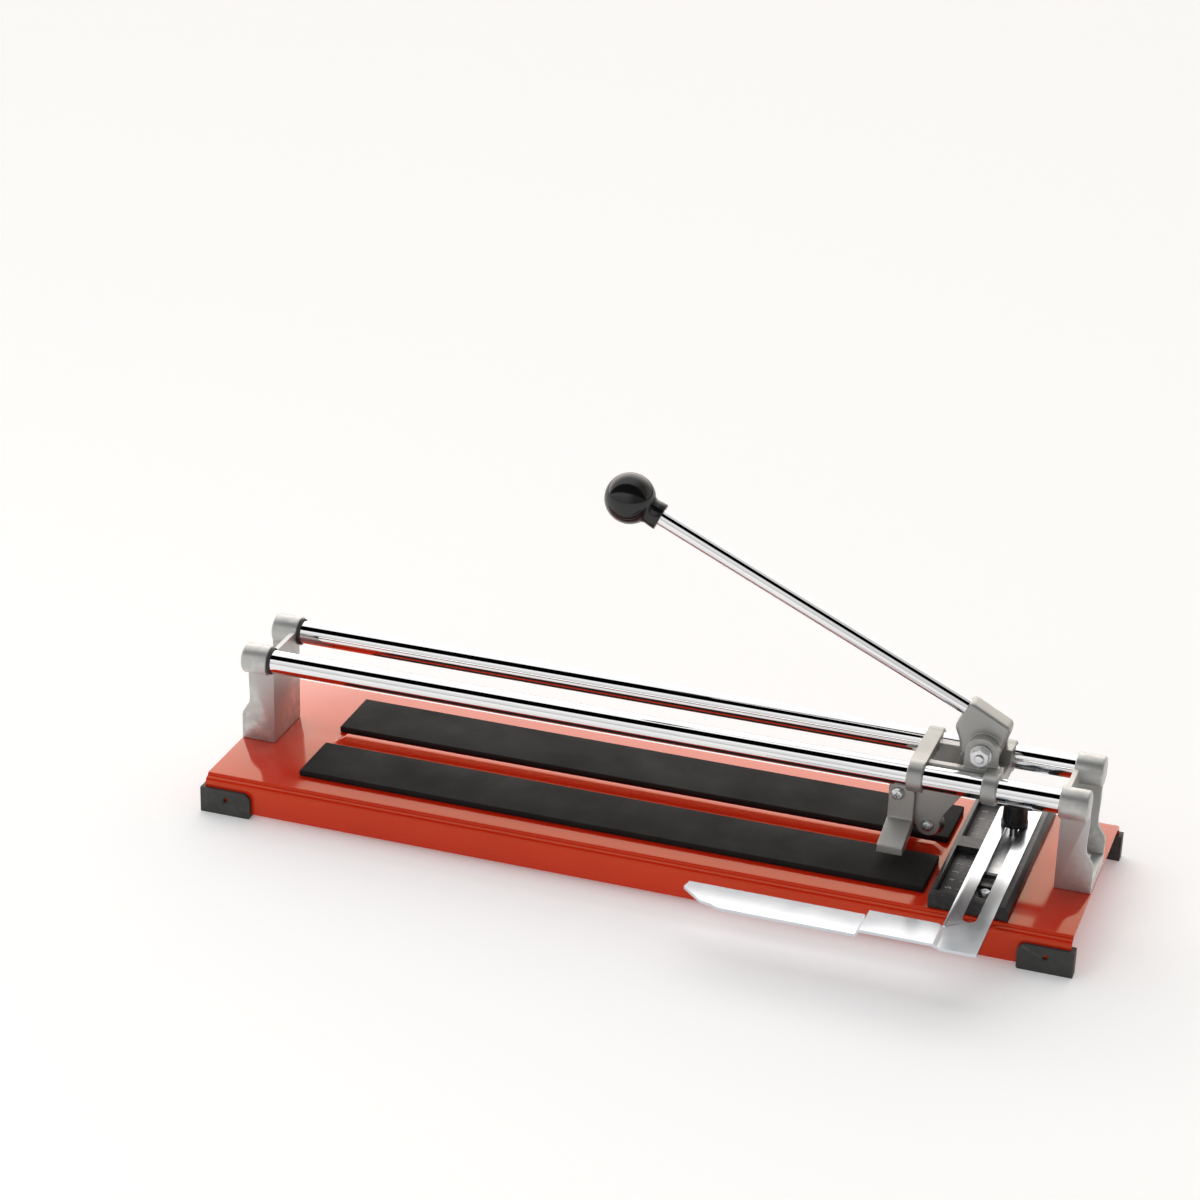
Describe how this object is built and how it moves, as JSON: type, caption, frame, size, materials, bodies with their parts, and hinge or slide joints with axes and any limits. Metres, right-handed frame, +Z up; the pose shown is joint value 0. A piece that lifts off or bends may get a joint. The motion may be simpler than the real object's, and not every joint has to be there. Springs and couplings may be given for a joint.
{
  "type": "tile cutter",
  "caption": "Bench tile cutter: bent steel base with rubber feet and pads, twin slide tubes, carriage with a pivoting lever, scoring wheel and breaker foot, and a sliding side stop.",
  "frame": {"origin": "on the bench, under the middle of the whole outline: midway along the base, and midway between the front edge of the side stop and the back feet, 26.75 mm in front of the cut line", "axes": "+X along the cut to the end with the side stop, +Y to the back, +Z up"},
  "size_m": [0.545, 0.2084, 0.2342],
  "materials": {
    "red_paint": "glossy",
    "black_rubber": "matte",
    "pad_rubber": "matte",
    "black_plastic": "satin",
    "black_gloss": "glossy",
    "cast_aluminium": "satin",
    "cast_grey": "satin",
    "chrome": "polished",
    "zinc_plate": "bright",
    "tool_steel": "satin",
    "scale_grey": "satin"
  },
  "bodies": {
    "base": {"base_plate": "red_paint", "bracket_left": "cast_aluminium", "bracket_right": "cast_aluminium", "bracket_screw_back_left": "zinc_plate", "bracket_screw_back_right": "zinc_plate", "bracket_screw_front_left": "zinc_plate", "bracket_screw_front_right": "zinc_plate", "buffer_back": "black_rubber", "buffer_front": "black_rubber", "channel_strip": "zinc_plate", "clamp_bolt": "zinc_plate", "foot_back_left": "black_rubber", "foot_back_right": "black_rubber", "foot_front_left": "black_rubber", "foot_front_right": "black_rubber", "guide_body": "black_plastic", "guide_screw_back": "zinc_plate", "guide_screw_front": "zinc_plate", "pad_back": "pad_rubber", "pad_front": "pad_rubber", "scale_strip": "scale_grey", "tube_back": "chrome", "tube_front": "chrome"},
    "carriage": {"carriage": "cast_grey", "pivot_bolt": "zinc_plate", "pivot_washer": "zinc_plate", "pivot_nut": "zinc_plate"},
    "lever": {"lever_head": "cast_grey", "handle_rod": "chrome", "ball_knob": "black_gloss", "wheel_screw": "zinc_plate", "breaker_screw": "zinc_plate"},
    "wheel": {"cutting_wheel": "tool_steel"},
    "breaker": {"breaker_foot": "cast_grey"},
    "stop": {"stop_arm": "zinc_plate"},
    "knob": {"clamp_knob": "black_plastic"}
  },
  "joints": [
    {"name": "carriage_slide", "type": "slide", "parent": "base", "child": "carriage", "axis": [1, 0, 0], "range_m": [-0.36, 0.005]},
    {"name": "lever_hinge", "type": "hinge", "parent": "carriage", "child": "lever", "pos_m": [0.1978, 0.02675, 0.0992], "axis": [0, 1, 0], "range_deg": [-3.5, 18]},
    {"name": "wheel_spin", "type": "hinge", "parent": "lever", "child": "wheel", "pos_m": [0.1675, 0.02675, 0.042], "axis": [0, 1, 0], "continuous": true},
    {"name": "breaker_hinge", "type": "hinge", "parent": "lever", "child": "breaker", "pos_m": [0.1493, 0.02675, 0.0617], "axis": [0, 1, 0], "range_deg": [-4, 25]},
    {"name": "stop_slide", "type": "slide", "parent": "base", "child": "stop", "axis": [0, 1, 0], "range_m": [-0.014, 0.068]},
    {"name": "knob_turn", "type": "hinge", "parent": "base", "child": "knob", "pos_m": [0.2135, 0.05525, 0.0354], "axis": [0, 0, 1], "continuous": true}
  ]
}
